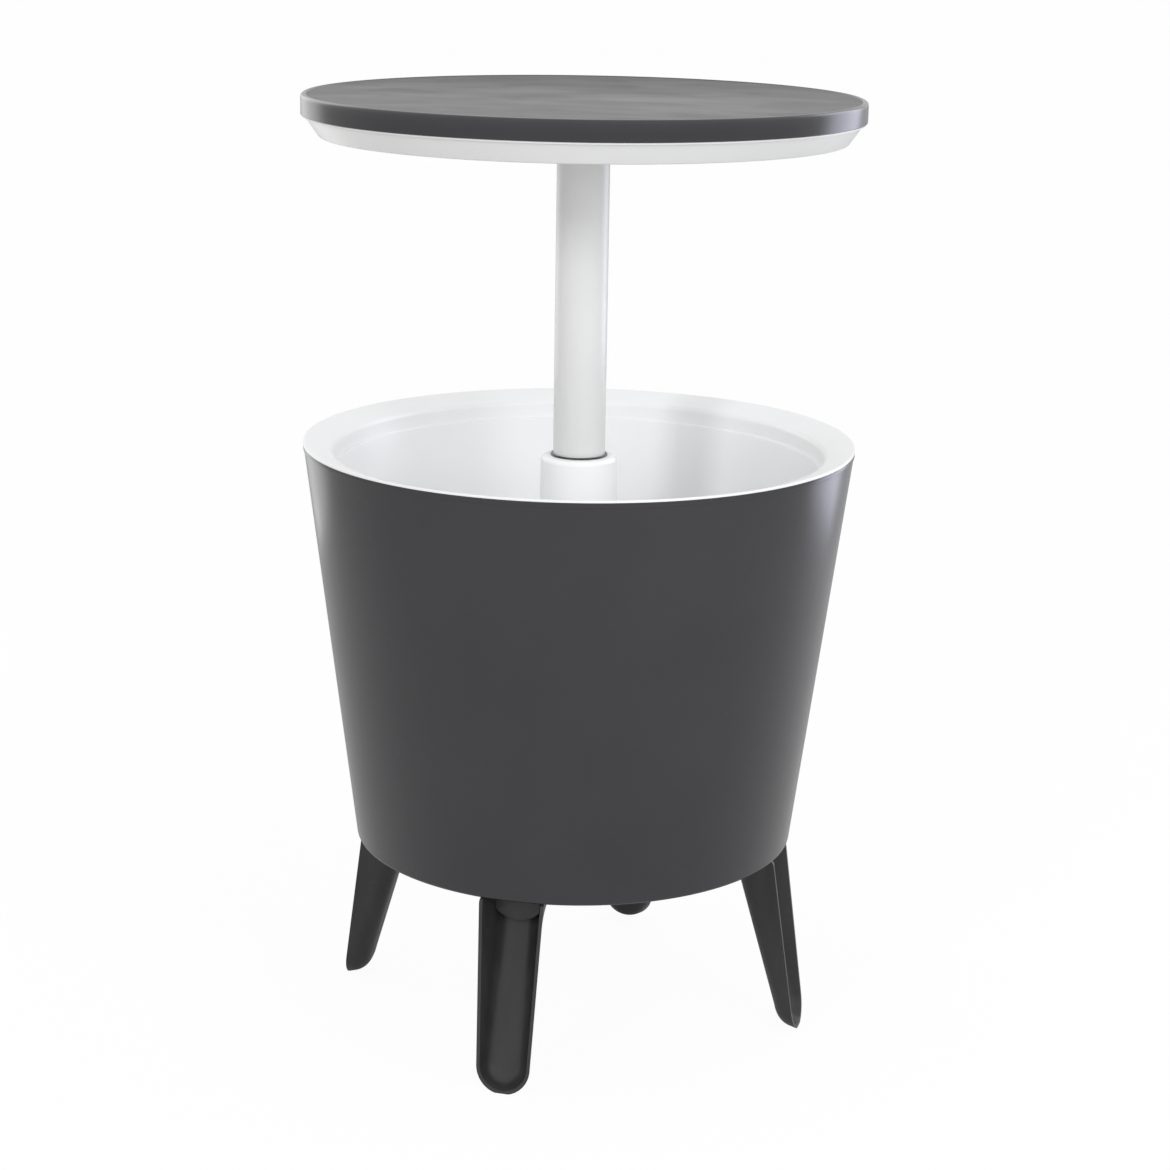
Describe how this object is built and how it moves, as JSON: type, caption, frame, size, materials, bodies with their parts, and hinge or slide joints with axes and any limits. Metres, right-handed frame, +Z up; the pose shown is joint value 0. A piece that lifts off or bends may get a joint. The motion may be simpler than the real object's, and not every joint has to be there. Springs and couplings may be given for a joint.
{
  "type": "cooler table with lid",
  "caption": "Round double-walled cooler tub on short splayed channel legs, with a centre pole that lifts and twist-locks its lid as a table top, and a drain stopper below.",
  "frame": {"origin": "on the ground, under the centre of the tub", "axes": "+Z up; +X and +Y each point over a leg; stored with the table top raised"},
  "size_m": [0.4967, 0.4968, 0.85],
  "materials": {
    "dark_plastic": "satin",
    "white_plastic": "satin",
    "grey_plastic": "satin",
    "steel": "plain",
    "seal_rubber": "matte"
  },
  "bodies": {
    "cooler": {"outer_shell": "dark_plastic", "inner_tub": "white_plastic", "tub_column": "white_plastic", "guide_sleeve": "grey_plastic", "sleeve_screws": "steel", "lock_ring": "dark_plastic", "leg_right": "dark_plastic", "socket_right": "dark_plastic", "leg_rear": "dark_plastic", "socket_rear": "dark_plastic", "leg_left": "dark_plastic", "socket_left": "dark_plastic", "leg_front": "dark_plastic", "socket_front": "dark_plastic", "socket_screws": "steel", "leg_screws": "steel", "drain_spigot": "white_plastic", "drain_gasket": "seal_rubber", "drain_nut": "white_plastic"},
    "foot_guide": {"foot_slider": "grey_plastic"},
    "table": {"table_top": "dark_plastic", "lid_underside": "white_plastic", "pole_hub": "white_plastic", "hub_screws": "steel", "lid_screws": "steel", "pole_screws": "steel", "pole": "white_plastic", "pole_foot": "grey_plastic", "foot_washer": "steel", "foot_screw": "steel"},
    "plug": {"drain_plug": "dark_plastic", "plug_seal": "seal_rubber"}
  },
  "joints": [
    {"name": "table_lift", "type": "slide", "parent": "cooler", "child": "foot_guide", "axis": [0, 0, 1], "range_m": [-0.27493, 0]},
    {"name": "table_twist", "type": "hinge", "parent": "foot_guide", "child": "table", "pos_m": [0, 0, 0.47], "axis": [0, 0, 1], "range_deg": [-30, 0]},
    {"name": "plug_pull", "type": "slide", "parent": "cooler", "child": "plug", "axis": [0, 0, -1], "range_m": [0, 0.035]}
  ]
}
